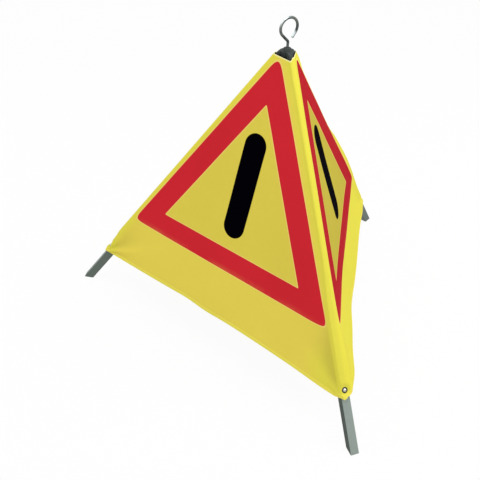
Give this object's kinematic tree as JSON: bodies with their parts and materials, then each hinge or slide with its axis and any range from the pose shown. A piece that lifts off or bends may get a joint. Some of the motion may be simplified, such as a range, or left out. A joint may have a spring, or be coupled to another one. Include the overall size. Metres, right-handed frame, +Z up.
{
  "type": "folding warning sign",
  "caption": "Free-standing folding warning sign: a cloth pyramid over hinged square legs, with a sprung head and a wire hook on top that folds the legs when it is pulled.",
  "frame": {"origin": "on the floor, at the middle of the box round the part", "axes": "+X to the right along the front hem, +Y to the back, +Z up; the front panel faces -Y"},
  "size_m": [1.0608, 0.9192, 0.9274],
  "materials": {
    "leg_steel": "galvanised, dull",
    "cast_alloy": "as cast",
    "head_plastic": "moulded, matt",
    "hook_steel": "drawn wire, dull zinc",
    "bright_steel": "zinc plated",
    "spring_steel": "oiled",
    "dark_ring": "blackened",
    "cover_cloth": "coated, printed"
  },
  "bodies": {
    "head": {"head_block": "head_plastic", "return_spring": "spring_steel", "pivot_pin_front": "bright_steel", "pivot_pin_left": "bright_steel", "pivot_pin_rear": "bright_steel", "panel_front": "cover_cloth", "panel_right": "cover_cloth", "panel_back": "cover_cloth"},
    "leg_front": {"leg_tube_front": "leg_steel", "knuckle_front": "cast_alloy", "knuckle_rivets_front": "bright_steel", "ridge_strip_front": "cover_cloth", "corner_washer_front": "dark_ring", "corner_rivet_front": "bright_steel"},
    "leg_left": {"leg_tube_left": "leg_steel", "knuckle_left": "cast_alloy", "knuckle_rivets_left": "bright_steel", "ridge_strip_left": "cover_cloth", "corner_washer_left": "dark_ring", "corner_rivet_left": "bright_steel"},
    "leg_rear": {"leg_tube_rear": "leg_steel", "knuckle_rear": "cast_alloy", "knuckle_rivets_rear": "bright_steel", "ridge_strip_rear": "cover_cloth", "corner_washer_rear": "dark_ring", "corner_rivet_rear": "bright_steel"},
    "collar": {"collar": "head_plastic"},
    "hook": {"hook": "hook_steel", "hook_ring": "spring_steel", "hook_washer": "bright_steel", "hook_nut": "bright_steel"}
  },
  "joints": [
    {"name": "leg_front_fold", "type": "hinge", "parent": "head", "child": "leg_front", "pos_m": [0.02595, -0.16181, 0.79446], "axis": [0.5, 0.866, 0], "range_deg": [0, 31]},
    {"name": "leg_left_fold", "type": "hinge", "parent": "head", "child": "leg_left", "pos_m": [-0.02595, -0.16181, 0.79446], "axis": [0.5, -0.866, 0], "range_deg": [0, 31]},
    {"name": "leg_rear_fold", "type": "hinge", "parent": "head", "child": "leg_rear", "pos_m": [0, -0.11687, 0.79446], "axis": [-1, 0, 0], "range_deg": [0, 31]},
    {"name": "hook_lift", "type": "slide", "parent": "head", "child": "collar", "axis": [0, 0, 1], "range_m": [0, 0.01071], "stiffness_N_per_m": 3000, "springref_m": -0.006, "deforming": ["return_spring"]},
    {"name": "hook_swivel", "type": "hinge", "parent": "collar", "child": "hook", "pos_m": [0, -0.14683, 0.78911], "axis": [0, 0, 1], "continuous": true}
  ],
  "couplings": [
    {"joint": "leg_left_fold", "follows": "leg_front_fold", "ratio": 1},
    {"joint": "leg_rear_fold", "follows": "leg_front_fold", "ratio": 1},
    {"joint": "hook_lift", "follows": "leg_front_fold", "m_per_rad": 0.019757}
  ]
}
